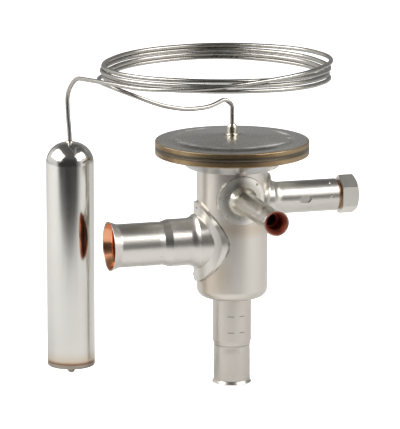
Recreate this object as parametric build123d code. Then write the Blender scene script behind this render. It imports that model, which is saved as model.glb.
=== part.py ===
from build123d import *

import math
import os

# Thermostatic expansion valve with solder sockets, a remote sensor bulb and a side adjusting spindle.
# Millimetres. The origin is the centre of the inlet socket's mouth, and +Z is the valve's own axis.
# The outlet points to -X, the adjusting spindle to +X and the equalizer line to -Y.

os.makedirs("parts", exist_ok=True)

# Clearances
fused_gap = 0.02  # pressed and brazed pieces, drawn this far apart
running_gap = 0.05  # turning and sliding pieces

# Valve body: a deep-drawn cup, welded to the head
body_radius = 14.5
body_wall = 1.6
body_corner = 3.8
body_height = 53.8
inlet_length = 36.1  # inlet tube below the body's floor

# Tubes with a solder socket at the mouth: steel outside, with a copper lining inside the socket
liner_wall = 0.42
tube_wall = 1.0
stop_lip = 1.0  # how far the socket's stop reaches inwards
stop_width = 2.2
mouth_lip = 0.25  # steel edge that stands past the lining
lip_share = 0.7  # of the socket's wall, in that edge

inlet_bore_radius = 6.4
inlet_socket_wall = 0.68
inlet_socket_depth = 13.2
inlet_tube_radius = 7.95
inlet_flare = 0.62
inlet_flare_depth = 1.3

outlet_rise = 23.7  # above the body's floor
outlet_reach = 52.1
outlet_bore_radius = 7.98
outlet_socket_wall = 0.5
outlet_socket_depth = 19.5
outlet_tube_radius = 9.7
outlet_flare = 1.3
outlet_flare_depth = 3.4

equalizer_drop = 11.4  # below the body's top
equalizer_reach = 60.0
equalizer_bore_radius = 3.2
equalizer_socket_wall = 0.58
equalizer_socket_depth = 8.5
equalizer_tube_radius = 4.45
equalizer_flare = 1.05
equalizer_flare_depth = 2.6

# Saddle flanges: each tube's root is flared and wrapped round the body
flange_wall = 1.3
outlet_flange_width = 13.4
outlet_flange_height = 16.5
equalizer_flange_radius = 9.8
housing_flange_radius = 10.6
neck_rise = 4.6
neck_lift = 0.2
neck_rounding = 0.4

# Diaphragm head
head_radius = 31.4
head_wall = 2.0
head_floor_radius = 18.4
head_bowl_radius = 24.6
head_bowl_depth = 5.3
rim_wall = 2.8
rim_edge = 0.5
head_opening = 12.0
diaphragm_wall = 0.25
diaphragm_waves = 3
wave_height = 0.35
wave_rounding = 0.8
wave_start = 1.0  # past the thrust pad
wave_end = 2.5  # inside the clamped edge
clamp_radius = 26.5
step_radius = 25.0
step_height = 0.75
step_rounding = 0.5
cover_rise = 1.6
dome_fall = 0.1
dome_rounding = 2.0
chamber_height = 2.6
chamber_fall = 0.6
chamber_rounding = 3.0
collar_radius = 2.1
collar_height = 4.2
collar_straight = 0.75  # of its height, below the taper
collar_rounding = 0.3
collar_tip_wall = 0.35

# Thrust pad, push rod and valve cone
pad_radius = 13.5
pad_wall = 1.6
pad_hub_radius = 4.4
pad_hub_length = 4.4
pad_rounding = 0.5
pad_hub_rounding = 0.4
rod_radius = 1.5
rod_chamfer = 0.2
rod_socket = 0.75  # of the cone's length
cone_radius = 5.0
cone_length = 4.0
cone_tip = 0.6  # stands into the port
cone_rounding = 0.4
port_radius = 3.6
port_lead = 1.2
seat_thread_radius = 6.5
seat_flange_radius = 7.8
seat_flange_wall = 1.6
seat_rounding = 0.4

# Guide insert, which holds the seat, the rod and the adjusting train
seat_plate_rise = 9.9  # above the body's floor
seat_plate_wall = 4.8
partition_drop = 20.9  # below the body's top
partition_wall = 2.9
insert_drop = 1.4
cage_wall = 2.3
skirt_wall = 1.7
window_width = 15.0
boss_radius = 4.2
boss_neck_radius = 3.5
spindle_passage = 0.6  # round the spindle
equalizer_hole_start = 1.0  # past the boss
cutter_overrun = 0.1
seal_section = 0.72
keyway_depth = 1.2
key_width = 3.0

# Adjusting train: spindle with a bladed pinion, crown wheel, spring carrier
spindle_drop = 14.1  # below the body's top
spindle_radius = 2.0
pilot_radius = 1.2
pilot_length = 1.6
pinion_blades = 6
pinion_radius = 3.4
pinion_core_radius = 1.5
pinion_width = 2.3
pinion_clearance = 0.75
blade_wall = 0.8
crown_slots = 12
crown_tooth_angle = 8.4
crown_tooth_inner = 5.0
crown_tooth_drop = 1.7
crown_clearance = 0.4
crown_wheel_radius = 8.6
crown_wheel_wall = 2.4
crown_hub_radius = 5.4
crown_hub_length = 6.6
carrier_radius = 9.6
carrier_wall = 2.5
carrier_lip = 0.7
carrier_travel = 1.5
carrier_clearance = 0.3
key_wall = 2.0
spring_wire_radius = 0.7
spring_radius = 7.9
spring_play = 0.3  # round the lips that centre the spring
spring_turns = 4.5
spring_bends = 8  # in a turn

# Spindle housing, gland and seal cap
housing_radius = 6.6
housing_reach = 44.0
collar_stop_depth = 24.2  # this and the next depths are measured from the housing's mouth
spindle_collar_radius = 3.2
spindle_collar_width = 2.4
collar_play = 0.1
collar_room = 0.8
gland_radius = 4.2
washer_wall = 0.8
packing_length = 3.0
gland_nut_length = 7.6
gland_key_flats = 5.6
gland_key_depth = 3.0
spindle_end_depth = 2.0
spindle_square = 2.9
spindle_square_length = 5.0
cap_thread_radius = 5.05
cap_thread_length = 6.8
gasket_wall = 1.5
gasket_radius = 6.0
cap_flats = 14.0
cap_hex_length = 7.1
cap_bore_radius = 2.7
cap_bore_depth = 12.0
cap_chamfer = 1.1
cap_chamfer_slope = 1.6
cap_end_gap = 0.4
dimple_centre_depth = 14.6
dimple_length = 5.0
dimple_width = 3.0
dimple_depth = 0.7
stake_depth = 3.0
stake_angles = (6.0, 57.0)
stake_radius = 0.8
stake_offset = 0.2

# Sensor bulb
bulb_x = -63.2
bulb_y = 19.05
bulb_base_z = 6.9
bulb_length = 93.1
bulb_radius = 9.8
bulb_wall = 1.0
bulb_cap_wall = 1.8
bulb_cap_bevel = 0.8
bulb_nub_radius = 2.8
bulb_nub_tip = 1.1
bulb_nub_height = 3.2
bulb_nub_rounding = 0.5
bulb_nub_root = 0.6
bulb_top_flat = 0.3
bulb_entry = 4.0

# Capillary tube, wound into a coil over the head
capillary_radius = 0.9
view_turn = -16.5  # the coil and its leads are set out across and along this direction
coil_radius = 45.5
coil_x = -6.5
coil_y = 1.95
coil_rise = 26.2  # from the dome to the middle of the coil
coil_bends = 8  # in a turn
arc_share = 0.45  # of a run, taken by the arc at each end
coil_turns = 3.25
coil_pitch = 1.92
pitch_tilt = 0.16  # the turns lie closer at the back than at the front
pitch_fan = 0.08  # and fan out at the two sides
coil_tilt = 0.7
coil_bow = 0.78
stub_length = 7.8  # straight out of the collar
bulb_run = 3.0  # straight above the bulb
coil_stagger = 0.42  # the turns lie a little inside and outside each other
stagger_start = 0.25  # of a turn

# The last pass leaves the stack: turn, distance outside the coil, height above the dome
last_pass = (
    (3.375, 0.5, 29.6),
    (3.5, 0.9, 30.8),
    (3.625, 2.0, 30.8),
    (3.75, 2.5, 27.8),
    (3.84, 2.6, 25.8),
)
# Leads, hand-bent: across and away from the valve's axis, and above the dome
head_lead = (
    (-2.9, -1.2, 14.7),
    (-9.0, -4.8, 12.0),
    (-18.2, -10.0, 11.8),
    (-28.6, -15.4, 14.4),
    (-38.0, -19.2, 18.6),
    (-46.6, -17.8, 21.7),
)
bulb_lead = (
    (-49.9, -24.4, 25.2),
    (-63.4, -2.4, 23.5),
    (-66.9, 0.3, 17.0),
    (-66.8, 0.3, 9.0),
)

# Places worked out from the sizes
body_inner = body_radius - body_wall
body_top_z = inlet_length + body_height
floor_z = inlet_length + body_wall
outlet_z = inlet_length + outlet_rise
equalizer_z = body_top_z - equalizer_drop
spindle_z = body_top_z - spindle_drop
flange_radius = body_radius + flange_wall
rim_z = body_top_z + head_bowl_depth
diaphragm_z = rim_z + rim_wall
cover_z = diaphragm_z + diaphragm_wall
cover_top_z = cover_z + rim_wall
dome_z = cover_top_z + step_height + cover_rise
insert_radius = body_inner - fused_gap
insert_top_z = body_top_z - insert_drop
seat_plate_z = inlet_length + seat_plate_rise
partition_z = body_top_z - partition_drop
partition_top_z = partition_z + partition_wall
pad_top_z = diaphragm_z - fused_gap
pad_under_z = pad_top_z - pad_wall
rod_top_z = pad_under_z
crown_z = spindle_z + pinion_radius + crown_clearance
crown_top_z = crown_z + crown_wheel_wall
boss_shoulder_z = crown_z - running_gap
carrier_z = crown_top_z + carrier_travel + carrier_clearance
carrier_top_z = carrier_z + carrier_wall
seat_face_z = seat_plate_z - seat_flange_wall
pinion_x = boss_radius + pinion_clearance
crown_tooth_outer = pinion_x + pinion_width
collar_stop_x = housing_reach - collar_stop_depth
spindle_end_x = housing_reach - spindle_end_depth
gland_x = collar_stop_x + spindle_collar_width + collar_room
gland_nut_x = gland_x + washer_wall + packing_length
cap_thread_x = housing_reach - cap_thread_length
cap_hex_x = housing_reach + gasket_wall
bulb_top_z = bulb_base_z + bulb_length


def turned(*outline):
    """A solid of revolution about Z from (radius, z) or (radius, z, rounding) corners."""
    corners = [(corner[0], corner[1]) for corner in outline]
    roundings = [corner[2] if len(corner) == 3 else 0 for corner in outline]
    section = make_face(FilletPolyline(*corners, radius=roundings, close=True))
    return revolve(Plane.XZ * section, Axis.Z)


def bar(radius, start, end):
    """A round bar about Z between two heights."""
    return Pos(0, 0, (start + end) / 2) * Cylinder(radius, end - start)


def block(width, depth, start, end):
    """A square bar about Z between two heights."""
    return Pos(0, 0, (start + end) / 2) * Box(width, depth, end - start)


def ring(outer, inner, start, end):
    """A plain ring about Z between two heights."""
    return bar(outer, start, end) - bar(inner, start, end)


def pointing(direction, height):
    """The place of a piece that was drawn along +Z and points sideways out of the valve at a height."""
    return Plane(origin=(0, 0, height), x_dir=(0, 0, 1), z_dir=direction).location


outlet_place = pointing((-1, 0, 0), outlet_z)
equalizer_place = pointing((0, -1, 0), equalizer_z)
spindle_place = pointing((1, 0, 0), spindle_z)
inlet_place = Plane(origin=(0, 0, floor_z), x_dir=(1, 0, 0), z_dir=(0, 0, -1)).location


def bent_tube(points, radius, bends):
    """A round bar along straight runs joined by tangent arcs."""
    path = FilletPolyline(*points, radius=bends)
    section = Plane(origin=path @ 0, z_dir=path % 0) * Circle(radius)
    return sweep(section, path=path)


def bend_radii(points):
    """For each inner point, the arc that takes its share of the shorter run beside it."""
    radii = []
    for before, corner, after in zip(points, points[1:], points[2:]):
        run_in = Vector(*corner) - Vector(*before)
        run_out = Vector(*after) - Vector(*corner)
        half_turn = math.radians(run_in.get_angle(run_out)) / 2
        radii.append(arc_share * min(run_in.length, run_out.length) / math.tan(half_turn))
    return radii


# Tubes with solder sockets


def socket_tube(reach, root, tube_radius, bore, socket_wall, depth, flare, flare_depth):
    """A steel tube along +Z from root to reach, swaged to a solder socket with a flared mouth."""
    seat = bore + liner_wall
    outside = seat + socket_wall
    bottom = reach - depth
    run_end = bottom - stop_width
    swage = tube_radius - outside + stop_width
    tube_bore = tube_radius - tube_wall
    return turned(
        (tube_radius, root),
        (tube_radius, run_end - swage, tube_wall),
        (outside - liner_wall / 4, run_end, tube_wall / 2),
        (outside, bottom, tube_wall),
        (outside, reach - flare_depth, 0.5 * flare_depth),
        (outside + flare, reach, mouth_lip / 2),
        (outside + flare - socket_wall * lip_share, reach, mouth_lip / 2),
        (seat, reach - flare_depth, 0.5 * flare_depth),
        (seat, bottom),
        (tube_bore - stop_lip, bottom),
        (tube_bore - stop_lip, run_end),
        (tube_bore, run_end - stop_lip),
        (tube_bore, root),
    )


def socket_liner(reach, bore, socket_wall, depth, flare, flare_depth):
    """The copper lining of a socket, spun out with the steel at the mouth."""
    seat = bore + liner_wall
    mouth = reach - mouth_lip
    spread = (flare + socket_wall * (1 - lip_share)) * (1 - mouth_lip / flare_depth)
    return turned(
        (bore, reach - depth),
        (seat, reach - depth),
        (seat, reach - flare_depth, 0.5 * flare_depth),
        (seat + spread, mouth),
        (seat + spread - liner_wall, mouth),
        (bore, reach - flare_depth, 0.5 * flare_depth),
    )


def saddle(tube_radius, width, height):
    """A neck and a flange along +Z, wrapped on the body, whose axis lies along the local X."""
    neck = turned(
        (0, 0),
        (tube_radius + neck_rise / 2, 0),
        (tube_radius + neck_rise / 3, flange_radius + neck_lift, neck_rounding),
        (tube_radius, flange_radius + neck_rise / 2, neck_rise),
        (tube_radius, flange_radius + 2 * neck_rise),
        (0, flange_radius + 2 * neck_rise),
    )
    plate = extrude(Ellipse(height, width), flange_radius)
    plate &= Rot(0, 90, 0) * Cylinder(flange_radius, 2.2 * height)
    return neck + plate


def body_core(radius):
    """The valve's axis bar, in the frame of a piece that points sideways."""
    return Rot(0, 90, 0) * Cylinder(radius, 3 * body_height)


def saddled(tube, tube_radius, tube_bore, width, height):
    """A tube whose root passes through the body's wall and whose saddle lies on the body."""
    outside = saddle(tube_radius, width, height) - body_core(body_radius)
    through = bar(tube_radius, 0, body_radius + neck_rise) - body_core(body_inner)
    bore = bar(tube_bore, 0, flange_radius + 2 * neck_rise)
    return tube + (outside + through - bore)


def make_inlet_tube():
    return inlet_place * socket_tube(
        floor_z, 0, inlet_tube_radius, inlet_bore_radius, inlet_socket_wall,
        inlet_socket_depth, inlet_flare, inlet_flare_depth,
    )


def make_inlet_liner():
    return inlet_place * socket_liner(
        floor_z, inlet_bore_radius, inlet_socket_wall, inlet_socket_depth, inlet_flare, inlet_flare_depth,
    )


def make_outlet_tube():
    tube = socket_tube(
        outlet_reach, flange_radius + neck_rise, outlet_tube_radius, outlet_bore_radius,
        outlet_socket_wall, outlet_socket_depth, outlet_flare, outlet_flare_depth,
    )
    bore = outlet_tube_radius - tube_wall
    return outlet_place * saddled(
        tube, outlet_tube_radius, bore, outlet_flange_width, outlet_flange_height,
    )


def make_outlet_liner():
    return outlet_place * socket_liner(
        outlet_reach, outlet_bore_radius, outlet_socket_wall, outlet_socket_depth,
        outlet_flare, outlet_flare_depth,
    )


def make_equalizer_tube():
    tube = socket_tube(
        equalizer_reach, flange_radius + neck_rise, equalizer_tube_radius, equalizer_bore_radius,
        equalizer_socket_wall, equalizer_socket_depth, equalizer_flare, equalizer_flare_depth,
    )
    bore = equalizer_tube_radius - tube_wall
    return equalizer_place * saddled(
        tube, equalizer_tube_radius, bore, equalizer_flange_radius, equalizer_flange_radius,
    )


def make_equalizer_liner():
    return equalizer_place * socket_liner(
        equalizer_reach, equalizer_bore_radius, equalizer_socket_wall, equalizer_socket_depth,
        equalizer_flare, equalizer_flare_depth,
    )


# Body and head


def make_body_shell():
    shell = turned(
        (inlet_tube_radius, inlet_length),
        (body_radius, inlet_length, body_corner),
        (body_radius, body_top_z),
        (body_inner, body_top_z),
        (body_inner, floor_z, body_corner - body_wall),
        (inlet_tube_radius, floor_z),
    )
    shell -= outlet_place * bar(outlet_tube_radius, 0, 2 * body_radius)
    shell -= equalizer_place * bar(equalizer_tube_radius, 0, 2 * body_radius)
    shell -= spindle_place * bar(housing_radius, 0, 2 * body_radius)
    return shell


def make_lower_head():
    return turned(
        (head_opening, body_top_z),
        (head_floor_radius, body_top_z, head_wall),
        (head_bowl_radius - head_wall, rim_z - head_wall / 2, head_wall),
        (head_bowl_radius, rim_z),
        (head_radius, rim_z, rim_edge),
        (head_radius, diaphragm_z, rim_edge / 2),
        (clamp_radius, diaphragm_z),
        (head_bowl_radius - head_wall / 2, diaphragm_z - 3 * wave_height),
        (head_floor_radius, body_top_z + head_wall, head_wall),
        (head_opening, body_top_z + head_wall),
    )


def make_upper_head():
    return turned(
        (capillary_radius + fused_gap, dome_z),
        (capillary_radius + fused_gap, cover_z + chamber_height),
        (head_floor_radius, cover_z + chamber_height - chamber_fall, chamber_rounding),
        (clamp_radius, cover_z),
        (head_radius, cover_z, rim_edge / 2),
        (head_radius, cover_top_z, rim_edge),
        (step_radius + step_height, cover_top_z, step_rounding),
        (step_radius - step_height, cover_top_z + step_height, step_rounding),
        (2 * collar_radius, dome_z - dome_fall, dome_rounding),
        (collar_radius, dome_z),
    )


def make_diaphragm():
    """A thin disc, flat where it is clamped and over the thrust pad, with waves between."""
    inner, outer = pad_radius + wave_start, clamp_radius - wave_end
    step = (outer - inner) / (2 * diaphragm_waves + 1)
    under = [(0, diaphragm_z), (inner, diaphragm_z, wave_rounding)]
    for index in range(2 * diaphragm_waves):
        height = wave_height if index % 2 else -wave_height
        under.append((inner + (index + 1) * step, diaphragm_z + height, wave_rounding))
    under += [(outer, diaphragm_z, wave_rounding), (head_radius - rim_edge, diaphragm_z)]
    upper = [(corner[0], corner[1] + diaphragm_wall, *corner[2:]) for corner in reversed(under)]
    return turned(*under, *upper)


def make_capillary_collar():
    inner = capillary_radius + fused_gap
    return turned(
        (inner, dome_z),
        (collar_radius, dome_z),
        (collar_radius, dome_z + collar_height * collar_straight, collar_rounding),
        (inner + collar_tip_wall, dome_z + collar_height),
        (inner, dome_z + collar_height),
    )


# Insert, seat and moving stem


def make_guide_insert():
    insert = bar(insert_radius, seat_plate_z, insert_top_z)
    insert -= bar(insert_radius - cage_wall, seat_plate_z + seat_plate_wall, partition_z)
    insert -= bar(insert_radius - skirt_wall, partition_top_z, insert_top_z)
    for turn in (0, 90):
        insert -= Rot(0, 0, turn) * block(
            3 * body_radius, window_width, seat_plate_z + seat_plate_wall, partition_z,
        )
    insert += bar(boss_radius, partition_top_z, boss_shoulder_z)
    insert += bar(boss_neck_radius, boss_shoulder_z, insert_top_z)
    insert -= bar(rod_radius + running_gap, partition_z, insert_top_z)
    seal_middle = partition_z + partition_wall / 2
    insert -= bar(
        rod_radius + 2 * seal_section + 2 * fused_gap,
        seal_middle - seal_section - fused_gap,
        seal_middle + seal_section + fused_gap,
    )
    insert -= bar(seat_thread_radius, seat_plate_z, seat_plate_z + seat_plate_wall)
    insert -= spindle_place * bar(spindle_radius + spindle_passage, boss_radius, 2 * body_radius)
    insert -= spindle_place * bar(
        pilot_radius + running_gap, pinion_x - pilot_length - pinion_clearance, boss_radius + cutter_overrun,
    )
    insert -= equalizer_place * bar(
        equalizer_bore_radius, boss_radius + equalizer_hole_start, 2 * body_radius,
    )
    for turn in (45, 225):
        insert -= Rot(0, 0, turn) * Pos(insert_radius - skirt_wall, 0, 0) * block(
            2 * keyway_depth, key_width + 2 * running_gap,
            carrier_z - carrier_travel - running_gap, insert_top_z,
        )
    return insert


def make_orifice_seat():
    return turned(
        (port_radius, seat_face_z),
        (seat_flange_radius, seat_face_z, seat_rounding),
        (seat_flange_radius, seat_plate_z),
        (seat_thread_radius - fused_gap, seat_plate_z),
        (seat_thread_radius - fused_gap, seat_plate_z + seat_plate_wall),
        (port_radius + port_lead, seat_plate_z + seat_plate_wall),
        (port_radius, seat_plate_z + seat_plate_wall - port_lead),
    )


def make_valve_cone():
    """The cone's 45 degree face meets the seat's lower edge."""
    edge = port_radius - fused_gap
    bore = rod_radius + fused_gap
    root = seat_face_z - (cone_radius - edge)
    tip = seat_face_z + cone_tip
    hole = tip - rod_socket * cone_length
    return turned(
        (0, root - cone_length / 2),
        (cone_radius, root - cone_length / 2, cone_rounding),
        (cone_radius, root),
        (edge - cone_tip, tip),
        (bore, tip),
        (bore, hole),
        (0, hole),
    )


def make_push_rod():
    bottom = seat_face_z + cone_tip - rod_socket * cone_length + fused_gap
    return chamfer(bar(rod_radius, bottom, rod_top_z).edges(), rod_chamfer)


def make_thrust_pad():
    bore = rod_radius + fused_gap
    spring_inner = spring_radius - spring_wire_radius
    return turned(
        (0, pad_top_z),
        (pad_radius, pad_top_z, pad_rounding),
        (pad_radius, pad_under_z, pad_rounding),
        (spring_inner - spring_play, pad_under_z),
        (spring_inner - spring_play, pad_under_z - carrier_lip),
        (pad_hub_radius, pad_under_z - carrier_lip),
        (pad_hub_radius, pad_under_z - pad_hub_length + pad_wall, pad_hub_rounding),
        (bore, pad_under_z - pad_hub_length + pad_wall),
        (bore, rod_top_z + fused_gap),
        (0, rod_top_z + fused_gap),
    )


def make_rod_seal():
    centre = rod_radius + fused_gap + seal_section
    return Pos(0, 0, partition_z + partition_wall / 2) * Torus(centre, seal_section)


# Adjusting train


def make_crown_wheel():
    """A wheel with teeth under its rim, and a threaded hub that lifts the spring carrier."""
    wheel = bar(crown_wheel_radius, crown_z, crown_top_z)
    wheel += bar(crown_hub_radius, crown_top_z, crown_top_z + crown_hub_length)
    half = math.radians(crown_tooth_angle / 2)
    outer, inner = crown_tooth_outer, crown_tooth_inner
    foot = Polyline(
        (inner * math.cos(half), -inner * math.sin(half)),
        (outer * math.cos(half), -outer * math.sin(half)),
        (outer * math.cos(half), outer * math.sin(half)),
        (inner * math.cos(half), inner * math.sin(half)),
        close=True,
    )
    tooth = Pos(0, 0, crown_z - crown_tooth_drop) * extrude(make_face(foot), crown_tooth_drop)
    for index in range(crown_slots):
        wheel += Rot(0, 0, (index + 0.5) * 360 / crown_slots) * tooth
    return wheel - bar(boss_neck_radius + running_gap, crown_z, crown_top_z + crown_hub_length)


def make_spring_carrier():
    """A nut on the crown wheel's hub, kept from turning by two keys in the insert's keyways."""
    lip_radius = spring_radius - spring_wire_radius - spring_play
    carrier = bar(carrier_radius, carrier_z, carrier_top_z)
    carrier += bar(lip_radius, carrier_top_z, carrier_top_z + carrier_lip)
    reach = insert_radius - skirt_wall + keyway_depth - running_gap * 2
    keys = block(2 * reach, key_width, carrier_z, carrier_z + key_wall)
    carrier += Rot(0, 0, 45) * keys
    return carrier - bar(
        crown_hub_radius + running_gap, carrier_z, carrier_top_z + carrier_lip,
    )


def make_superheat_spring():
    low = carrier_top_z + spring_wire_radius + fused_gap
    high = pad_under_z - spring_wire_radius - fused_gap
    steps = int(spring_turns * spring_bends)
    corner_radius = spring_radius / wound_share(spring_bends)
    points = []
    for step in range(steps + 1):
        angle = 2 * math.pi * step / spring_bends
        height = low + (high - low) * step / steps
        points.append((corner_radius * math.cos(angle), corner_radius * math.sin(angle), height))
    return bent_tube(points, spring_wire_radius, bend_radii(points))


def make_adjusting_spindle():
    """Drawn along +Z: pilot, bladed pinion, shank, thrust collar and square end."""
    spindle = bar(pilot_radius, pinion_x - pilot_length, pinion_x)
    spindle += bar(pinion_core_radius, pinion_x, pinion_x + pinion_width)
    blade = block(2 * pinion_radius, blade_wall, pinion_x, pinion_x + pinion_width)
    for index in range(pinion_blades // 2):
        spindle += Rot(0, 0, index * 360 / pinion_blades) * blade
    spindle += bar(spindle_radius, pinion_x + pinion_width, spindle_end_x)
    collar_x = collar_stop_x + running_gap
    spindle += bar(spindle_collar_radius, collar_x, collar_x + spindle_collar_width)
    square = block(spindle_square, spindle_square, 0, spindle_end_x + 1)
    end = bar(2 * spindle_radius, spindle_end_x - spindle_square_length, spindle_end_x)
    return spindle_place * (spindle - (end - square))


# Housing, gland and seal cap, drawn along +Z


def make_spindle_housing():
    housing = bar(housing_radius, 0, housing_reach)
    housing += saddle(housing_radius, housing_flange_radius, housing_flange_radius) - body_core(body_radius)
    housing -= body_core(body_inner)
    housing -= bar(spindle_radius + running_gap, 0, housing_reach)
    housing -= bar(spindle_collar_radius + collar_play, collar_stop_x, gland_x)
    housing -= bar(gland_radius, gland_x, housing_reach)
    housing -= bar(cap_thread_radius, cap_thread_x, housing_reach)
    dimple = extrude(SlotOverall(dimple_length, dimple_width), dimple_depth, both=True)
    placed = spindle_place * housing
    placed -= Plane(
        origin=(housing_reach - dimple_centre_depth, -housing_radius, spindle_z), x_dir=(1, 0, 0), z_dir=(0, -1, 0),
    ).location * dimple
    for angle in stake_angles:
        out = Vector(0, -math.cos(math.radians(angle)), math.sin(math.radians(angle)))
        centre = Vector(housing_reach - stake_depth, 0, spindle_z) + out * (housing_radius + stake_offset)
        placed -= Pos(*centre) * Sphere(stake_radius)
    return placed


def make_backing_washer():
    return spindle_place * ring(
        gland_radius - fused_gap, spindle_radius + running_gap, gland_x, gland_x + washer_wall,
    )


def make_spindle_packing():
    return spindle_place * ring(
        gland_radius - fused_gap, spindle_radius + fused_gap, gland_x + washer_wall, gland_nut_x,
    )


def make_gland_nut():
    end = gland_nut_x + gland_nut_length
    nut = ring(gland_radius - fused_gap, spindle_radius + running_gap, gland_nut_x, end)
    key = extrude(RegularPolygon(gland_key_flats / 2, 6, major_radius=False), gland_key_depth)
    return spindle_place * (nut - Pos(0, 0, end - gland_key_depth) * key)


def make_cap_gasket():
    return spindle_place * ring(gasket_radius, cap_thread_radius, housing_reach, cap_hex_x)


def make_seal_cap():
    """A hexagon cap with a threaded spigot that closes the housing over the spindle's end."""
    head = extrude(RegularPolygon(cap_flats / 2, 6, major_radius=False), cap_hex_length)
    corner = cap_flats / math.sqrt(3)
    head &= turned(
        (0, 0),
        (corner - cap_chamfer / 3, 0),
        (corner, cap_chamfer / 3),
        (corner, cap_hex_length - cap_chamfer),
        (corner - cap_chamfer_slope * cap_chamfer, cap_hex_length),
        (0, cap_hex_length),
    )
    spigot_x = cap_thread_x + cap_end_gap
    cap = Pos(0, 0, cap_hex_x) * head
    cap += bar(cap_thread_radius - running_gap, spigot_x, cap_hex_x)
    return spindle_place * (cap - bar(cap_bore_radius, spigot_x, spigot_x + cap_bore_depth))


# Sensor bulb and capillary tube


def make_bulb_shell():
    inner = bulb_radius - bulb_wall
    return Pos(bulb_x, bulb_y, 0) * turned(
        (bulb_radius, bulb_base_z + bulb_cap_wall),
        (bulb_radius, bulb_top_z, bulb_radius - capillary_radius - bulb_top_flat),
        (capillary_radius + fused_gap, bulb_top_z),
        (capillary_radius + fused_gap, bulb_top_z - bulb_wall),
        (inner, bulb_top_z - bulb_wall, inner - capillary_radius - bulb_top_flat),
        (inner, bulb_base_z + bulb_cap_wall),
    )


def make_bulb_end_cap():
    spigot = bulb_radius - bulb_wall - fused_gap
    return Pos(bulb_x, bulb_y, 0) * turned(
        (0, bulb_base_z - bulb_nub_height),
        (bulb_nub_tip, bulb_base_z - bulb_nub_height, bulb_nub_rounding),
        (bulb_nub_radius, bulb_base_z, bulb_nub_root),
        (bulb_radius, bulb_base_z, bulb_cap_bevel),
        (bulb_radius, bulb_base_z + bulb_cap_wall),
        (spigot, bulb_base_z + bulb_cap_wall),
        (spigot, bulb_base_z + 2 * bulb_cap_wall),
        (0, bulb_base_z + 2 * bulb_cap_wall),
    )


def wound_share(bends):
    """A wound tube runs at this share of its corners' radius, halfway between its arcs and its runs."""
    half_bend_cosine = math.cos(math.pi / bends)
    return (half_bend_cosine + 1 - 2 * arc_share * (1 - half_bend_cosine)) / 2


def in_view(across, away, height):
    """A point from distances across and away, along the direction that the coil is set out from."""
    turn = math.radians(view_turn)
    return (
        across * math.cos(turn) - away * math.sin(turn),
        across * math.sin(turn) + away * math.cos(turn),
        height,
    )


def coil_point(turn, outside, height):
    """A point on the coil, which starts at its left and winds away to the back."""
    angle = math.radians(180 - 360 * turn + view_turn)
    radius = (coil_radius + outside) / wound_share(coil_bends)
    return (coil_x + radius * math.cos(angle), coil_y + radius * math.sin(angle), height)


def coil_height(turn):
    """The turns climb, lie closer at the back, fan out at the sides and bow with their own weight."""
    angle = math.pi - 2 * math.pi * turn
    pitch = coil_pitch - pitch_tilt * math.sin(angle) + pitch_fan * math.cos(2 * angle)
    level = coil_tilt * math.sin(angle) + coil_bow * math.cos(2 * angle)
    return dome_z + coil_rise + (turn - coil_turns / 2) * pitch - level


def capillary_route():
    route = [(0, 0, cover_z + chamber_height + fused_gap), (0, 0, dome_z + collar_height + stub_length)]
    route += [in_view(across, away, dome_z + rise) for across, away, rise in head_lead]
    for step in range(int(coil_turns * coil_bends) + 1):
        turn = step / coil_bends
        stagger = coil_stagger * math.cos(math.pi * (turn - stagger_start))
        route.append(coil_point(turn, stagger, coil_height(turn)))
    route += [coil_point(turn, outside, dome_z + rise) for turn, outside, rise in last_pass]
    route += [in_view(across, away, dome_z + rise) for across, away, rise in bulb_lead]
    return route + [(bulb_x, bulb_y, bulb_top_z + bulb_run), (bulb_x, bulb_y, bulb_top_z - bulb_entry)]


def make_capillary_tube():
    points = capillary_route()
    return bent_tube(points, capillary_radius, bend_radii(points))


pieces = {
    "body_shell": make_body_shell,
    "inlet_tube": make_inlet_tube,
    "inlet_liner": make_inlet_liner,
    "outlet_tube": make_outlet_tube,
    "outlet_liner": make_outlet_liner,
    "equalizer_tube": make_equalizer_tube,
    "equalizer_liner": make_equalizer_liner,
    "lower_head": make_lower_head,
    "upper_head": make_upper_head,
    "diaphragm": make_diaphragm,
    "capillary_collar": make_capillary_collar,
    "capillary_tube": make_capillary_tube,
    "bulb_shell": make_bulb_shell,
    "bulb_end_cap": make_bulb_end_cap,
    "guide_insert": make_guide_insert,
    "orifice_seat": make_orifice_seat,
    "valve_cone": make_valve_cone,
    "push_rod": make_push_rod,
    "thrust_pad": make_thrust_pad,
    "rod_seal": make_rod_seal,
    "superheat_spring": make_superheat_spring,
    "spring_carrier": make_spring_carrier,
    "crown_wheel": make_crown_wheel,
    "adjusting_spindle": make_adjusting_spindle,
    "spindle_housing": make_spindle_housing,
    "backing_washer": make_backing_washer,
    "spindle_packing": make_spindle_packing,
    "gland_nut": make_gland_nut,
    "cap_gasket": make_cap_gasket,
    "seal_cap": make_seal_cap,
}

for name, make in pieces.items():
    export_step(make(), f"parts/{name}.step")
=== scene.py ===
import math

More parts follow.
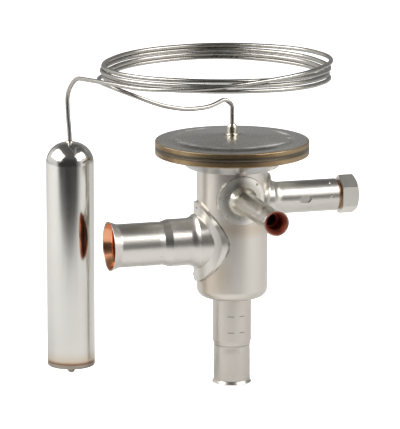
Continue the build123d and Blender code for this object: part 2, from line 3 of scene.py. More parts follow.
import bpy
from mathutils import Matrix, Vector


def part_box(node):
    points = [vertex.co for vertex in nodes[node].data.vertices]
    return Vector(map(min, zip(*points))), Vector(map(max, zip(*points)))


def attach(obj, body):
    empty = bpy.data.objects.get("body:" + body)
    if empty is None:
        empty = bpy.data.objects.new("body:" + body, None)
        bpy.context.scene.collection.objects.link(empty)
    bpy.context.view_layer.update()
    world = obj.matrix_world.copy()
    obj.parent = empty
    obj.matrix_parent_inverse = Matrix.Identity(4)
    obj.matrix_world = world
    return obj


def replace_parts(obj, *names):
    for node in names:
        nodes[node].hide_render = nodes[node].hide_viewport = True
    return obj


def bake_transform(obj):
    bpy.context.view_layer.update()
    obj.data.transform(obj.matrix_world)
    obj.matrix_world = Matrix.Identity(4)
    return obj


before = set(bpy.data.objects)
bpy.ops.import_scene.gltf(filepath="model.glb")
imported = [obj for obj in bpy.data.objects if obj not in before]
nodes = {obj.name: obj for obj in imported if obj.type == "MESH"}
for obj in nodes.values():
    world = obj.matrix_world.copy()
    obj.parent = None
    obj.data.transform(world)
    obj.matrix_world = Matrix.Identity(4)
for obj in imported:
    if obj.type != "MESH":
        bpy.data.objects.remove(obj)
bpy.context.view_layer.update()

# Valve body: a drawn cup of satin stainless steel, welded under the diaphragm head. Its wall is left as
# the press made it, with faint drawing lines up the sides. Heat has tinted it straw beside the flanges,
# which are welded on, and brown on the floor, where the inlet tube is brazed in.


def connect(node, socket, value):
    """Links a node's input to another node's output, or sets it to a number or a colour."""
    if isinstance(value, bpy.types.NodeSocket):
        node.id_data.links.new(value, node.inputs[socket])
    else:
        node.inputs[socket].default_value = value


def add_node(tree, kind, *inputs, **settings):
    """Adds a shader node. Each of its inputs is a pair: a socket, and what goes into it."""
    made = tree.nodes.new("ShaderNode" + kind)
    for setting, value in settings.items():
        setattr(made, setting, value)
    for socket, value in inputs:
        connect(made, socket, value)
    return made


class Finish:
    """A node material that is built up in layers from the piece's own coordinates, in metres."""

    def __init__(self, name, colour, roughness, metallic=1.0, centre=(0, 0, 0), turn=(0, 0, 0)):
        self.material = bpy.data.materials.new(name)
        self.material.use_nodes = True
        self.tree = self.material.node_tree
        self.shader = self.tree.nodes["Principled BSDF"]
        connect(self.shader, "Metallic", metallic)
        self.colour = (*colour, 1)
        self.roughness = roughness
        self.normal = None
        self.place = self.node(
            "Mapping",
            ("Vector", self.node("TexCoord")["Object"]),
            ("Location", centre),
            ("Rotation", [math.radians(angle) for angle in turn]),
            vector_type="TEXTURE",
        )[0]
        self.x, self.y, self.z = self.node("SeparateXYZ", (0, self.place))

    def node(self, kind, *inputs, **settings):
        """Adds a node to the material's tree and gives its outputs."""
        return add_node(self.tree, kind, *inputs, **settings).outputs

    def maths(self, operation, first, second=0.0):
        return self.node("Math", (0, first), (1, second), operation=operation)[0]

    def product(self, first, second):
        return self.maths("MULTIPLY", first, second)

    def radius(self):
        """Distance from the piece's own Z axis."""
        squares = self.maths("ADD", self.product(self.x, self.x), self.product(self.y, self.y))
        return self.maths("SQRT", squares)

    def distance(self, point):
        return self.node("VectorMath", (0, self.place), (1, point), operation="DISTANCE")["Value"]

    def ramp(self, value, start, end, low=0.0, high=1.0):
        """A smooth step from low to high as the value goes from start to end."""
        inputs = enumerate((value, start, end, low, high))
        return self.node("MapRange", *inputs, interpolation_type="SMOOTHSTEP")[0]

    def band(self, value, middle, half_width):
        """1 in the middle, falling to 0 at the half width."""
        away = self.maths("ABSOLUTE", self.maths("SUBTRACT", value, middle))
        return self.ramp(away, half_width, 0.0)

    def grain(self, scale, stretch=(1, 1, 1), detail=4.0):
        """Noise, finer along the axes that are stretched more."""
        stretched = self.node("VectorMath", (0, self.place), (1, stretch), operation="MULTIPLY")[0]
        return self.node(
            "TexNoise", ("Vector", stretched), ("Scale", scale), ("Detail", detail), ("Roughness", 0.6),
        )[0]

    # The Mix node's factor is socket 0. It mixes numbers in 2 and 3, and colours in 6 and 7.

    def tint(self, amount, colour):
        """Lays a colour over what is there, by an amount from 0 to 1."""
        self.colour = self.node(
            "Mix", (0, amount), (6, self.colour), (7, (*colour, 1)), data_type="RGBA", clamp_factor=True,
        )[2]

    def dull(self, amount, roughness):
        """Brings the roughness towards another value, by an amount from 0 to 1."""
        self.roughness = self.node(
            "Mix", (0, amount), (2, self.roughness), (3, roughness), data_type="FLOAT", clamp_factor=True,
        )[0]

    def relief(self, height, strength, depth):
        """Raises the surface by a height from 0 to 1 times the depth, over any relief already there."""
        inputs = [("Height", height), ("Strength", strength), ("Distance", depth)]
        if self.normal:
            inputs.append(("Normal", self.normal))
        self.normal = self.node("Bump", *inputs)[0]

    def on(self, piece):
        """Wires the layers to the shader and puts the material on a piece."""
        connect(self.shader, "Base Color", self.colour)
        connect(self.shader, "Roughness", self.roughness)
        if self.normal:
            connect(self.shader, "Normal", self.normal)
        if not piece.material_slots:
            piece.data.materials.append(None)
        for slot in piece.material_slots:
            slot.material = self.material


def darker(colour, share):
    """The colour, brought down to a share of its brightness."""
    return [share * part for part in colour]


def drawn_steel(name, colour, roughness, along=(1, 1, 1), depth=0.00004, **place):
    """Satin steel with faint lines along the way that it was drawn, a few specks and soft clouds."""
    finish = Finish(name, colour, roughness, **place)
    lines = finish.grain(220, along, detail=1.0)
    clouds = finish.grain(45, detail=2.0)
    specks = finish.grain(700, detail=1.0)
    finish.tint(finish.ramp(clouds, 0.35, 0.7, high=0.25), darker(colour, 0.85))
    finish.tint(finish.ramp(specks, 0.74, 0.80, high=0.4), darker(colour, 0.5))
    finish.dull(finish.ramp(lines, 0.3, 0.8), roughness + 0.03)
    finish.relief(lines, 0.02, depth)
    return finish


straw = (0.50, 0.36, 0.20)
floor_brown = (0.16, 0.10, 0.06)
outlet_foot = (-0.0125, -0.0085, 0.0470)
equalizer_foot_z = 0.0665
body_finish = drawn_steel("body_steel", (0.70, 0.66, 0.60), 0.32, along=(2, 2, 0.4), depth=0.000008)
outlet_heat = body_finish.ramp(body_finish.distance(outlet_foot), 0.0120, 0.0050, high=0.35)
body_finish.tint(outlet_heat, straw)
equalizer_heat = body_finish.band(body_finish.z, equalizer_foot_z, half_width=0.0052)
body_finish.tint(body_finish.product(equalizer_heat, 0.4), straw)
floor_heat = body_finish.ramp(body_finish.radius(), 0.0100, 0.0082)
body_finish.tint(body_finish.product(floor_heat, 0.8), floor_brown)
body_finish.on(nodes["body_shell"])

# Inlet tube: drawn stainless, swaged at the bottom to a solder socket. It is satin all over, with faint
# rings where the rollers ran round the socket, and four short dashes pressed in at the front.

inlet_steel = (0.63, 0.59, 0.535)
dash_brown = (0.27, 0.245, 0.21)
swage_z = 0.0160
dash_rows_z = (0.0220, 0.0288)
dash_spans = ((-0.0005, 0.0018), (0.0040, 0.0013))  # the middle and half the length of each, along its row
inlet_finish = drawn_steel("inlet_steel", inlet_steel, 0.30, along=(3, 3, 0.2))
roller_rings = inlet_finish.grain(900, stretch=(0.02, 0.02, 1.0), detail=2.0)
inlet_finish.relief(roller_rings, 0.2, depth=0.00003)
inlet_finish.tint(inlet_finish.band(inlet_finish.z, swage_z, half_width=0.0005), darker(inlet_steel, 0.7))
along_row = inlet_finish.maths(  # the rows face -Y, turned 16 degrees towards -X
    "SUBTRACT", inlet_finish.product(inlet_finish.x, 0.96), inlet_finish.product(inlet_finish.y, 0.28),
)
front = inlet_finish.ramp(inlet_finish.y, 0.0, -0.0005)
for row_z in dash_rows_z:
    row = inlet_finish.product(inlet_finish.band(inlet_finish.z, row_z, half_width=0.00035), front)
    for middle, half_length in dash_spans:
        dash = inlet_finish.ramp(inlet_finish.band(along_row, middle, half_length), 0.0, 0.3)
        inlet_finish.tint(inlet_finish.product(row, dash), dash_brown)
inlet_finish.on(nodes["inlet_tube"])

# Inlet braze: the narrow ring of nickel braze where the inlet tube enters the body's floor. It has run
# thin and gone brown in the furnace.


def roughen(piece, strength, size):
    """Gives a bead an uneven skin, raised and sunk by noise of that size, and shades it smooth."""
    skin = bpy.data.textures.new(piece.name + "_skin", "CLOUDS")
    skin.noise_scale = size
    uneven = piece.modifiers.new("uneven", "DISPLACE")
    uneven.texture = skin
    uneven.strength = strength
    bpy.ops.object.modifier_apply(modifier="uneven")
    bpy.ops.object.shade_smooth()


def bead(name, finish, radius, z, width, height, ripple, centre=(0, 0), steps=180):
    """A weld or braze bead: an oval section spun about an upright axis, with an uneven skin."""
    bpy.ops.object.select_all(action="DESELECT")
    bpy.ops.mesh.primitive_circle_add(
        vertices=16, radius=1, location=(centre[0] + radius, centre[1], z), rotation=(math.pi / 2, 0, 0),
    )
    ring = bpy.context.object
    ring.name = name
    ring.scale = (width, height, 1)
    bpy.ops.object.transform_apply(location=True, rotation=True, scale=True)
    bpy.ops.object.mode_set(mode="EDIT")
    bpy.ops.mesh.select_all(action="SELECT")
    bpy.ops.mesh.spin(steps=steps, angle=math.tau, center=(*centre, 0), axis=(0, 0, 1))
    bpy.ops.mesh.select_all(action="SELECT")
    bpy.ops.mesh.remove_doubles(threshold=1e-6)
    bpy.ops.mesh.normals_make_consistent(inside=False)
    bpy.ops.object.mode_set(mode="OBJECT")
    roughen(ring, ripple, size=0.0009)
    finish.on(ring)
    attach(ring, "valve")


body_low, body_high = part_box("body_shell")
nickel_braze = Finish("inlet_braze", (0.30, 0.22, 0.15), 0.4)
bead(
    "inlet_braze", nickel_braze,
    radius=0.0081, z=body_low.z, width=0.0005, height=0.0003, ripple=0.0001,
)

# Inlet socket lining: a copper sleeve, spun over with the steel at the mouth, so that copper pipe can be
# soldered in. It is darker and rougher further in from the mouth.


def lining(name, mouth, bright_length, dark, **place):
    """Copper that is bright at the mouth and darker and rougher further in."""
    bright, brown = (0.86, 0.40, 0.22), (0.60, 0.20, 0.09)
    finish = Finish(name, bright, 0.24, **place)
    clouds = finish.grain(150, detail=3.0)
    depth = finish.maths("ABSOLUTE", finish.maths("SUBTRACT", finish.z, mouth))
    inner = finish.ramp(depth, 0.0, bright_length)
    finish.tint(inner, dark)
    finish.dull(inner, 0.5)
    finish.tint(finish.ramp(clouds, 0.5, 0.75, high=0.35), brown)
    finish.relief(clouds, 0.15, depth=0.0001)
    return finish


inlet_copper = lining("inlet_copper", mouth=0.0, bright_length=0.006, dark=(0.45, 0.15, 0.08))
inlet_copper.on(nodes["inlet_liner"])

# Outlet tube: a wider stainless tube, drawn down to a shoulder and a solder socket, with its root flared
# into a saddle that is wrapped round the body and welded to it. It is the brightest of the tubes.

outlet_z = 0.0598
outlet_axis = {"centre": (0, 0, outlet_z), "turn": (0, 90, 0)}
outlet_finish = drawn_steel(
    "outlet_steel", (0.70, 0.67, 0.62), 0.31, along=(1, 1, 0.3), depth=0.000005, **outlet_axis,
)
outlet_finish.on(nodes["outlet_tube"])

# Outlet socket lining: the widest of the three copper sleeves, spun over at the mouth as the others are.
# It is still bright, with a few brown clouds from the brazing.

outlet_copper = lining(
    "outlet_copper", mouth=-0.052, bright_length=0.030, dark=(0.80, 0.30, 0.14), **outlet_axis,
)
outlet_copper.on(nodes["outlet_liner"])

# Equalizer tube: a thin stainless tube with a neck and a round flange, welded to the front of the body.
# Its inside is stained red-brown by the copper, and its flange has stayed pale.

equalizer_z = 0.0785
equalizer_axis = {"centre": (0, 0, equalizer_z), "turn": (90, 0, 0)}
pale_steel = (0.82, 0.79, 0.73)
copper_stain = (0.75, 0.26, 0.17)
equalizer_finish = drawn_steel(
    "equalizer_steel", (0.60, 0.565, 0.50), 0.27, along=(1, 1, 0.3), depth=0.000005, **equalizer_axis,
)
equalizer_from_axis = equalizer_finish.radius()
equalizer_finish.tint(equalizer_finish.ramp(equalizer_from_axis, 0.0070, 0.0092), pale_steel)
stained = equalizer_finish.ramp(equalizer_from_axis, 0.0037, 0.0035)
equalizer_finish.tint(stained, copper_stain)
equalizer_finish.dull(stained, 0.6)
equalizer_finish.on(nodes["equalizer_tube"])

# Equalizer socket lining: a small copper sleeve, pressed into the mouth and spun over its lip. Only the lip
# is bright, and further in it is darker red-brown.

equalizer_copper = lining(
    "equalizer_copper", mouth=-0.060, bright_length=0.0015, dark=(0.42, 0.13, 0.085), **equalizer_axis,
)
equalizer_copper.on(nodes["equalizer_liner"])

# Flange seams: a thin, uneven line of melted steel round each of the three saddle flanges. The flange's
# edge is welded to the body there, and the heat has browned it.

spindle_z = 0.0758
burnt_brown = (0.16, 0.115, 0.08)
seam_finish = Finish("flange_seam_steel", (0.50, 0.455, 0.39), 0.32)
spatter = seam_finish.grain(500, detail=3.0)
seam_finish.tint(seam_finish.ramp(spatter, 0.5, 0.7, high=0.7), burnt_brown)


def flange_seam(name, turn, z, across, up):
    """A bead along a flange's oval edge, made as a round ring and bent onto the body's wall."""
    ring_radius = 0.01
    bpy.ops.object.select_all(action="DESELECT")
    bpy.ops.mesh.primitive_torus_add(
        major_segments=240, minor_segments=10, major_radius=ring_radius, minor_radius=0.00028,
    )
    ring = bpy.context.object
    ring.name = name
    for vertex in ring.data.vertices:
        reach = math.hypot(vertex.co.x, vertex.co.y)
        aside = (across + reach - ring_radius) * vertex.co.x / reach
        above = (up + reach - ring_radius) * vertex.co.y / reach
        vertex.co = (math.sqrt(body_high.x**2 - aside**2) + vertex.co.z, aside, z + above)
    ring.rotation_euler.z = math.radians(turn)
    bpy.ops.object.transform_apply(location=True, rotation=True, scale=True)
    roughen(ring, 0.0002, size=0.0016)
    seam_finish.on(ring)
    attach(ring, "valve")


flange_seam("outlet_seam", turn=180, z=outlet_z, across=0.0134, up=0.0165)
flange_seam("equalizer_seam", turn=-90, z=equalizer_z, across=0.0098, up=0.0098)
flange_seam("housing_seam", turn=0, z=spindle_z, across=0.0106, up=0.0106)

# Weld projections: small pips pressed up on the steel flanges, two on each. They carried the welding
# current, and sank nearly flat as the flanges were pressed home.

flange_outside = 0.0158
pip_places = (  # which way the flange faces, in degrees, how far to its side, and the height
    (180, 0.0020, 0.0740), (180, -0.0030, 0.0455),
    (-90, 0.0062, 0.0849), (-90, -0.0066, 0.0722),
    (0, 0.0060, 0.0830), (0, -0.0060, 0.0690),
)
for number, (degrees, aside, up) in enumerate(pip_places):
    turn = math.radians(degrees)
    outward = math.sqrt(flange_outside**2 - aside**2)
    bpy.ops.object.select_all(action="DESELECT")
    bpy.ops.mesh.primitive_uv_sphere_add(segments=20, ring_count=12, radius=0.00055)
    pip = bpy.context.object
    pip.name = f"weld_pip_{number}"
    pip.scale = (0.5, 1, 1)
    pip.rotation_euler.z = turn + math.atan2(aside, outward)
    pip.location = (
        outward * math.cos(turn) - aside * math.sin(turn),
        outward * math.sin(turn) + aside * math.cos(turn),
        up,
    )
    bpy.ops.object.transform_apply(location=True, rotation=True, scale=True)
    bpy.ops.object.shade_smooth()
    seam_finish.on(pip)
    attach(pip, "valve")

# Spindle housing: turned from stainless bar, with a saddle flange, an oval dimple and two stake marks. It
# is welded to the body's side, and the tool has left fine rings round it.


def turned_metal(name, colour, roughness, depth=0.00003, **place):
    """Steel, copper or brass with fine rings round the piece's Z axis, and soft clouds."""
    finish = Finish(name, colour, roughness, **place)
    rings = finish.grain(1900, stretch=(0.01, 0.01, 1.0), detail=2.0)
    clouds = finish.grain(60, detail=2.0)
    finish.tint(finish.ramp(rings, 0.5, 0.75, high=0.35), darker(colour, 0.75))
    finish.tint(finish.ramp(clouds, 0.35, 0.7, high=0.25), darker(colour, 0.8))
    finish.relief(rings, 0.15, depth)
    return finish


spindle_axis = {"centre": (0, 0, spindle_z), "turn": (0, 90, 0)}
turned_metal("housing_steel", (0.68, 0.655, 0.60), 0.32, **spindle_axis).on(nodes["spindle_housing"])

# Cap gasket: a flat ring of soft copper. The cap crushes it against the housing's end to seal the thread,
# and it has tarnished brown.

turned_metal("gasket_copper", (0.36, 0.22, 0.13), 0.38, **spindle_axis).on(nodes["cap_gasket"])

# Seal cap: a hexagon cap, turned and milled from stainless bar, with a thread on its spigot. It screws
# into the housing over the spindle's end, and presses on the gasket.


def inside(finish, radius):
    """1 nearer to the piece's Z axis than the radius, and 0 further out."""
    return finish.ramp(finish.radius(), radius + 0.0001, radius)


def outside(finish, radius):
    """1 further from the piece's Z axis than the radius, and 0 nearer in."""
    return finish.ramp(finish.radius(), radius, radius + 0.0001)


def cut_thread(finish, where):
    """A screw thread round the piece's Z axis, in relief where the mask is 1. Returns the thread's wave."""
    pitch = 0.001
    turns = finish.maths("DIVIDE", finish.maths("ARCTAN2", finish.y, finish.x), math.tau)
    rise = finish.maths("DIVIDE", finish.z, pitch)
    wave = finish.maths("PINGPONG", finish.maths("ADD", rise, turns), 0.5)
    finish.relief(finish.product(wave, where), 1.0, depth=0.0008)
    return wave


spigot_radius = 0.0051
painted_root_shade = (0.25, 0.23, 0.20)
cap_finish = drawn_steel("cap_steel", (0.80, 0.77, 0.71), 0.42, depth=0.00001, **spindle_axis)
spigot = inside(cap_finish, spigot_radius)
cap_thread = cut_thread(cap_finish, spigot)
# Painted shade: the thread's roots are darkened grey, where shade falls between the turns.
thread_root_shade = cap_finish.product(spigot, cap_finish.ramp(cap_thread, 0.25, 0.0))
cap_finish.tint(thread_root_shade, painted_root_shade)
cap_finish.on(nodes["seal_cap"])

# Diaphragm head, lower half: a dished steel plate, welded to the body and to the cover. Heat from the rim
# weld has tinted its edge gold and brown.

head_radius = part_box("lower_head")[1].x
weld_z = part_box("upper_head")[0].z


def rim_tint_and_highlight(finish):
    """Heat tint on the rim: gold and brown all over it, dark olive grey beside the weld, and a painted
    highlight, a cream band, at its edge.
    """
    from_axis = finish.radius()
    rim = finish.ramp(from_axis, head_radius - 0.0012, head_radius - 0.0003)
    gold, brown, olive = (0.36, 0.25, 0.12), (0.22, 0.135, 0.06), (0.12, 0.10, 0.07)
    soot, painted_edge_highlight = (0.08, 0.06, 0.045), (0.66, 0.60, 0.46)
    patches = finish.grain(60, stretch=(1, 1, 0.3), detail=3.0)
    lines = finish.grain(1600, stretch=(0.02, 0.02, 1.0), detail=2.0)
    finish.tint(finish.product(rim, 0.9), gold)
    finish.tint(finish.product(rim, finish.ramp(patches, 0.4, 0.6, high=0.6)), brown)
    beside_weld = finish.product(rim, finish.band(finish.z, weld_z, half_width=0.0015))
    finish.tint(finish.product(beside_weld, 1.6), olive)
    finish.tint(finish.product(rim, finish.ramp(lines, 0.55, 0.7, high=0.5)), soot)
    # Painted highlight: a cream band just inside the rim's outer edge stands in for light caught on its
    # rounded corner.
    edge_highlight_band = finish.band(from_axis, head_radius - 0.0006, half_width=0.0006)
    finish.tint(finish.product(edge_highlight_band, 0.8), painted_edge_highlight)
    finish.dull(rim, 0.34)


lower_head_finish = turned_metal("lower_head_steel", (0.60, 0.59, 0.57), 0.30)
rim_tint_and_highlight(lower_head_finish)
lower_head_finish.on(nodes["lower_head"])

# Diaphragm head, cover: turned steel with a shallow step, and a soft sheen that follows the tool's rings.
# Light patches along the step are painted highlights, and brazing has left a brown ring round the
# capillary's collar.

painted_glint_white = (0.93, 0.92, 0.88)
scorched_steel = (0.22, 0.13, 0.06)
step_radius = 0.73 * head_radius
cover_finish = Finish("cover_steel", (0.56, 0.55, 0.52), 0.24)
cover_from_axis = cover_finish.radius()
along_radius = cover_finish.node("CombineXYZ", (0, cover_from_axis))[0]
rings = cover_finish.node("TexNoise", ("Vector", along_radius), ("Scale", 2400), ("Detail", 2.0))[0]
cover_finish.relief(rings, 0.12, depth=0.00003)
cover_finish.dull(cover_finish.ramp(rings, 0.35, 0.65), 0.32)
# Painted highlight: near-white patches along the step stand in for glints, and the roughness is raised in
# them.
painted_glint_patches = cover_finish.product(
    cover_finish.band(cover_from_axis, step_radius, half_width=0.0022),
    cover_finish.ramp(cover_finish.grain(110, detail=3.0), 0.45, 0.62),
)
cover_finish.tint(cover_finish.product(painted_glint_patches, 0.9), painted_glint_white)
cover_finish.dull(painted_glint_patches, 0.6)
scorch = cover_finish.ramp(cover_from_axis, 0.0046, 0.0026)
cover_finish.tint(cover_finish.product(scorch, 0.8), scorched_steel)
round_axis = cover_finish.node("Tangent", direction_type="RADIAL", axis="Z")[0]
connect(cover_finish.shader, "Tangent", round_axis)
connect(cover_finish.shader, "Anisotropic", 0.6)
rim_tint_and_highlight(cover_finish)
cover_finish.on(nodes["upper_head"])

# Rim weld: the laser-welded seam that joins the head's two halves and the diaphragm. It is a dark, finely
# ridged band round the rim.

ridge_grey = (0.24, 0.21, 0.16)
weld_finish = Finish("rim_weld_steel", (0.13, 0.11, 0.085), 0.5)
ridges = weld_finish.grain(1500, stretch=(0.05, 0.05, 1.0), detail=2.0)
weld_finish.relief(ridges, 0.5, depth=0.0001)
weld_finish.tint(weld_finish.ramp(ridges, 0.5, 0.7, high=0.6), ridge_grey)
bead(
    "rim_weld", weld_finish,
    radius=head_radius - 0.0003, z=weld_z + 0.0001, width=0.0003, height=0.0009, ripple=0.00008, steps=360,
)

# Capillary collar: a small turned sleeve that leads the capillary into the cover. Silver braze has wetted
# it all over and set bright.

silver_braze = Finish("silver_braze", (0.80, 0.73, 0.61), 0.14)
silver_braze.relief(silver_braze.grain(900, detail=2.0), 0.3, depth=0.0001)
silver_braze.on(nodes["capillary_collar"])

# Collar fillet: silver braze that ran down the collar and round its foot, where it fixes the collar to
# the cover. It has set bright, with an uneven edge.

collar_low, collar_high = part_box("capillary_collar")
bead(
    "collar_braze", silver_braze,
    radius=(collar_high.x - collar_low.x) / 2, z=collar_low.z, width=0.0007, height=0.0005,
    ripple=0.00012, steps=48,
)

# Capillary tube: drawn stainless, 1.8 mm thick, with a satin skin. It is wound into a coil with two leads
# formed by hand, brazed in at both ends, and is stiff enough to stand by itself.

capillary_finish = drawn_steel("capillary_steel", (0.44, 0.42, 0.385), 0.27, depth=0.000005)
capillary_finish.on(nodes["capillary_tube"])

# Sensor bulb: a length of bright stainless tube with a domed top. The weld at its foot has left a straw
# tint that fades upwards.

bulb_low, bulb_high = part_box("bulb_shell")
bulb_centre = ((bulb_low.x + bulb_high.x) / 2, (bulb_low.y + bulb_high.y) / 2)
bulb_finish = drawn_steel(
    "bulb_steel", (0.70, 0.68, 0.64), 0.15, along=(3, 3, 0.15), depth=0.00003, centre=(*bulb_centre, 0),
)
straw_fade = (0.0060, 0.55, (0.58, 0.42, 0.22))  # its height, strength and colour
brown_foot = (0.0016, 0.95, (0.22, 0.09, 0.04))
for height, strength, colour in (straw_fade, brown_foot):
    heat = bulb_finish.ramp(bulb_finish.z, bulb_low.z + height, bulb_low.z, high=strength)
    bulb_finish.tint(heat, colour)
bulb_finish.on(nodes["bulb_shell"])

# Bulb entry braze: a small ring of silver braze where the capillary enters the bulb's dome. It holds the
# tube there and keeps the charge in.

bead(
    "entry_braze", silver_braze,
    radius=0.0010, z=bulb_high.z - 0.0001, width=0.0006, height=0.0006, ripple=0.0001,
    centre=bulb_centre, steps=36,
)

# Bulb end cap: a pressed steel disc with a small nub where the bulb was filled and pinched off. Welding
# has left it dark olive grey.

drawn_steel("bulb_end_steel", (0.36, 0.32, 0.27), 0.30).on(nodes["bulb_end_cap"])

# Bulb seam: the narrow weld line that joins the bulb's tube to its end cap. It runs right round, and the
# heat has left it brown.

bulb_radius = (bulb_high.x - bulb_low.x) / 2
bulb_seam_finish = Finish("bulb_seam_steel", (0.20, 0.09, 0.045), 0.35)
bead(
    "bulb_weld", bulb_seam_finish,
    radius=bulb_radius - 0.0002, z=bulb_low.z, width=0.00015, height=0.0004, ripple=0.00005,
    centre=bulb_centre, steps=120,
)

# Diaphragm: a very thin disc of spring steel with pressed waves. Its edge is clamped between the head's
# two halves and welded in with them, and it is clean and bright inside the head.

turned_metal("diaphragm_steel", (0.66, 0.66, 0.65), 0.18).on(nodes["diaphragm"])

# Thrust pad: a disc turned from brass, pressed on the rod's top. It carries the diaphragm's middle, and
# a lip under it centres the spring.

brass = (0.74, 0.53, 0.24)
turned_metal("pad_brass", brass, 0.26).on(nodes["thrust_pad"])

# Push rod: a pin of ground steel, pressed into the pad at its top and the cone at its foot. It is
# polished where it slides through the insert and its seal.

turned_metal("rod_steel", (0.62, 0.62, 0.62), 0.12, depth=0.00001).on(nodes["push_rod"])

# Valve cone: turned from steel, hardened, and ground on its seating face, which closes up against the
# seat. The heat treatment has blued it towards its foot.

blued_steel = (0.16, 0.15, 0.18)
cone_finish = turned_metal("cone_steel", (0.42, 0.42, 0.44), 0.2)
cone_finish.tint(cone_finish.ramp(cone_finish.z, 0.0405, 0.0425, low=0.5, high=0.0), blued_steel)
cone_finish.on(nodes["valve_cone"])

# Orifice seat: a bush of hardened steel, screwed into the insert's lower end. Its port has a lapped edge
# for the cone.

turned_metal("seat_steel", (0.48, 0.48, 0.49), 0.16).on(nodes["orifice_seat"])

# Rod seal: a moulded ring of black plastic, snapped into a groove in the insert's partition. It has a
# dull, slightly oily skin.

seal_finish = Finish("rod_seal_plastic", (0.022, 0.022, 0.024), 0.42, metallic=0.0)
seal_finish.relief(seal_finish.grain(1500, detail=2.0), 0.2, depth=0.00005)
seal_finish.on(nodes["rod_seal"])

# Guide insert: turned and milled from brass bar, with windows for the flow, two keyways and a bored boss
# for the spindle. It is pressed into the body, and holds the seat, the rod and the adjusting train.

turned_metal("insert_brass", brass, 0.28).on(nodes["guide_insert"])

# Superheat spring: hard-drawn spring wire, wound cold, with a dark oily skin. It is made here as a lower
# and an upper half, one above the other.

spring_finish = drawn_steel("spring_steel", (0.34, 0.33, 0.32), 0.26)
spring_finish.on(nodes["superheat_spring"])
wire_radius = 0.0007
coil_radius = 0.0079
half_turns = 2.25
spring_low, spring_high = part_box("superheat_spring")
coil_low = spring_low.z + wire_radius
coil_high = spring_high.z - wire_radius
coil_middle = (coil_low + coil_high) / 2
half_length = coil_middle - coil_low


def spring_half(name, foot_z, first_turn):
    """Two and a quarter turns of round wire, rising half the coil's length from its foot."""
    bpy.ops.object.select_all(action="DESELECT")
    bpy.ops.mesh.primitive_circle_add(
        vertices=14, radius=wire_radius, location=(coil_radius, 0, foot_z), rotation=(math.pi / 2, 0, 0),
    )
    wire = bpy.context.object
    wire.name = name
    bpy.ops.object.transform_apply(location=True, rotation=True, scale=True)
    winding = wire.modifiers.new("winding", "SCREW")
    winding.angle = math.tau * half_turns
    winding.screw_offset = half_length
    winding.steps = winding.render_steps = 108
    bpy.ops.object.modifier_apply(modifier="winding")
    wire.rotation_euler.z = math.tau * first_turn
    bpy.ops.object.transform_apply(location=True, rotation=True, scale=True)
    bpy.ops.object.mode_set(mode="EDIT")
    bpy.ops.mesh.select_all(action="SELECT")
    bpy.ops.mesh.fill_holes(sides=0)
    bpy.ops.mesh.select_all(action="SELECT")
    bpy.ops.mesh.normals_make_consistent(inside=False)
    bpy.ops.object.mode_set(mode="OBJECT")
    bpy.ops.object.shade_smooth_by_angle(angle=math.radians(50))
    spring_finish.on(wire)
    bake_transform(wire)
    return wire


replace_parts(spring_half("spring_lower_half", coil_low, 0), "superheat_spring")
spring_half("spring_upper_half", coil_middle, half_turns)

# Spring carrier: a nut of turned brass under the spring, threaded on the crown wheel's hub. Two milled
# keys slide in the insert's keyways, so that it rises and doesn't turn.

carrier_bore = 0.0055
carrier_finish = turned_metal("carrier_brass", (0.70, 0.50, 0.22), 0.28)
cut_thread(carrier_finish, inside(carrier_finish, carrier_bore))
carrier_finish.on(nodes["spring_carrier"])

# Crown wheel: cut from brass, with teeth under its rim and a threaded hub on top. It turns freely on the
# insert's boss, and the spindle's blades drive it.

hub_inner, hub_outer = 0.0052, 0.0055
hub_top_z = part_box("crown_wheel")[1].z
crown_finish = turned_metal("crown_brass", (0.76, 0.56, 0.27), 0.24)
above_wheel = crown_finish.ramp(crown_finish.z, hub_top_z - 0.0068, hub_top_z - 0.0062)
hub = crown_finish.product(inside(crown_finish, hub_outer), above_wheel)
cut_thread(crown_finish, crown_finish.product(outside(crown_finish, hub_inner), hub))
crown_finish.on(nodes["crown_wheel"])

# Adjusting spindle: turned from hardened steel, with milled pinion blades and a square end for the key.
# Its collar bears on a step in the housing, and the gland nut keeps it in.

turned_metal("spindle_steel", (0.52, 0.51, 0.50), 0.2, **spindle_axis).on(nodes["adjusting_spindle"])

# Backing washer: a plain steel washer that lies in the housing between the spindle's collar and the
# packing. It gives the soft packing a flat, hard face to be pressed on.

turned_metal("washer_steel", (0.58, 0.57, 0.55), 0.3, **spindle_axis).on(nodes["backing_washer"])

# Spindle packing: a ring of white fluoroplastic, pressed tight round the spindle by the gland nut. It has
# a smooth, waxy skin.

packing_finish = Finish("packing_plastic", (0.70, 0.70, 0.67), 0.45, metallic=0.0)
packing_finish.relief(packing_finish.grain(800, detail=2.0), 0.15, depth=0.00005)
packing_finish.on(nodes["spindle_packing"])

# Gland nut: a plug turned from brass with a hexagon socket, screwed into the housing until it squeezes
# the packing. The spindle passes through it.

gland_thread_root = 0.0040
gland_finish = turned_metal("gland_brass", (0.72, 0.52, 0.23), 0.26, **spindle_axis)
cut_thread(gland_finish, outside(gland_finish, gland_thread_root))
gland_finish.on(nodes["gland_nut"])

# Studio: a white table that ends in front of the valve, two large soft lights and a camera. The camera
# sees the table as plain white, and the steel mirrors its lit surface, with the dark room beyond its edge.

white = (1, 1, 1, 1)
table_turn = math.radians(-18)
bpy.ops.object.select_all(action="DESELECT")
bpy.ops.mesh.primitive_plane_add(size=1, location=(0.263, 0.525, -0.001), rotation=(0, 0, table_turn))
table = bpy.context.object
table.name = "studio_table"
table.scale = (3.0, 1.7, 1)
bpy.ops.object.transform_apply(location=True, rotation=True, scale=True)
paper = Finish("studio_paper", (0.85, 0.85, 0.85), 0.9, metallic=0.0)
connect(paper.shader, "Emission Color", white)
connect(paper.shader, "Emission Strength", paper.node("LightPath")["Is Camera Ray"])
paper.on(table)

target = Vector((-0.01253, 0.00373, 0.0699))
to_camera = Vector((-0.278, -0.938, 0.208)).normalized()
camera_distance = 1.6


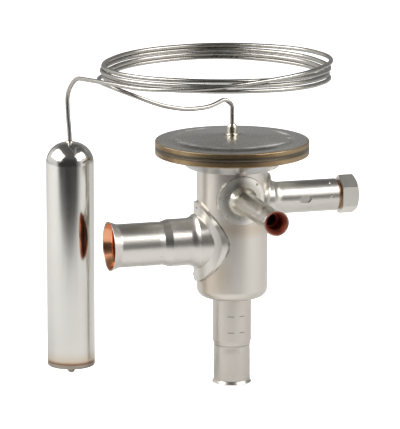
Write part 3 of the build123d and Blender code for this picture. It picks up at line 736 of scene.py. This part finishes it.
def softbox(name, place, width, height, power):
    """A soft area light that faces the valve."""
    light = bpy.data.lights.new(name, "AREA")
    light.shape = "RECTANGLE"
    light.size = width
    light.size_y = height
    light.energy = power
    lamp = bpy.data.objects.new(name, light)
    bpy.context.scene.collection.objects.link(lamp)
    lamp.location = place
    lamp.rotation_euler = (target - Vector(place)).to_track_quat("-Z", "Y").to_euler()


softbox("left_softbox", place=(-0.75, 0.10, 0.65), width=1.1, height=0.6, power=9)
softbox("right_softbox", place=(0.62, -0.50, 0.72), width=0.9, height=0.6, power=8)

world = bpy.data.worlds.new("studio")
world.use_nodes = True
bpy.context.scene.world = world


def room_node(kind, *inputs, **settings):
    """Adds a node to the room's tree and gives its outputs."""
    return add_node(world.node_tree, kind, *inputs, **settings).outputs


# The room's walls by compass bearing, in turns: 0.5 is behind the camera, and 0 and 1 are behind the
# valve. Each stop is a bearing and how bright the wall is there.
wall_stops = (
    (0.0, 0.35), (0.06, 0.25), (0.12, 0.85), (0.31, 0.85), (0.36, 0.04), (0.58, 0.04),
    (0.63, 0.30), (0.67, 0.9), (0.73, 0.9), (0.78, 0.25), (1.0, 0.35),
)
ceiling_grey = (0.12, 0.12, 0.12, 1)
direction = room_node("TexCoord")["Generated"]
forward = to_camera.copy()
forward.z = 0
forward.normalize()
rightward = Vector((-forward.y, forward.x, 0))
ahead = room_node("VectorMath", (0, direction), (1, forward), operation="DOT_PRODUCT")["Value"]
beside = room_node("VectorMath", (0, direction), (1, rightward), operation="DOT_PRODUCT")["Value"]
angle = room_node("Math", (0, beside), (1, ahead), operation="ARCTAN2")[0]
bearing = room_node("MapRange", (0, angle), (1, -math.pi), (2, math.pi))[0]
walls = add_node(world.node_tree, "ValToRGB", (0, bearing))
walls.color_ramp.interpolation = "EASE"
while len(walls.color_ramp.elements) < len(wall_stops):
    walls.color_ramp.elements.new(0.5)
for element, (position, brightness) in zip(walls.color_ramp.elements, wall_stops):
    element.position = position
    element.color = (brightness, brightness, brightness, 1)
height = room_node("SeparateXYZ", (0, direction))["Z"]
ceiling = room_node("MapRange", (0, height), (1, 0.35), (2, 0.75), interpolation_type="SMOOTHSTEP")[0]
room = room_node("Mix", (0, ceiling), (6, walls.outputs[0]), (7, ceiling_grey), data_type="RGBA")[2]
camera_ray = room_node("LightPath")["Is Camera Ray"]
shown = room_node("Mix", (0, camera_ray), (6, room), (7, white), data_type="RGBA")[2]
connect(world.node_tree.nodes["Background"], "Color", shown)
bpy.context.scene.view_settings.view_transform = "Standard"

camera_data = bpy.data.cameras.new("camera")
camera_data.sensor_fit = "HORIZONTAL"
camera_data.sensor_width = 36
camera_data.lens = 353
camera_data.clip_end = 20
camera = bpy.data.objects.new("camera", camera_data)
bpy.context.scene.collection.objects.link(camera)
camera.location = target + to_camera * camera_distance
camera.rotation_euler = (-to_camera).to_track_quat("-Z", "Y").to_euler()
bpy.context.scene.camera = camera
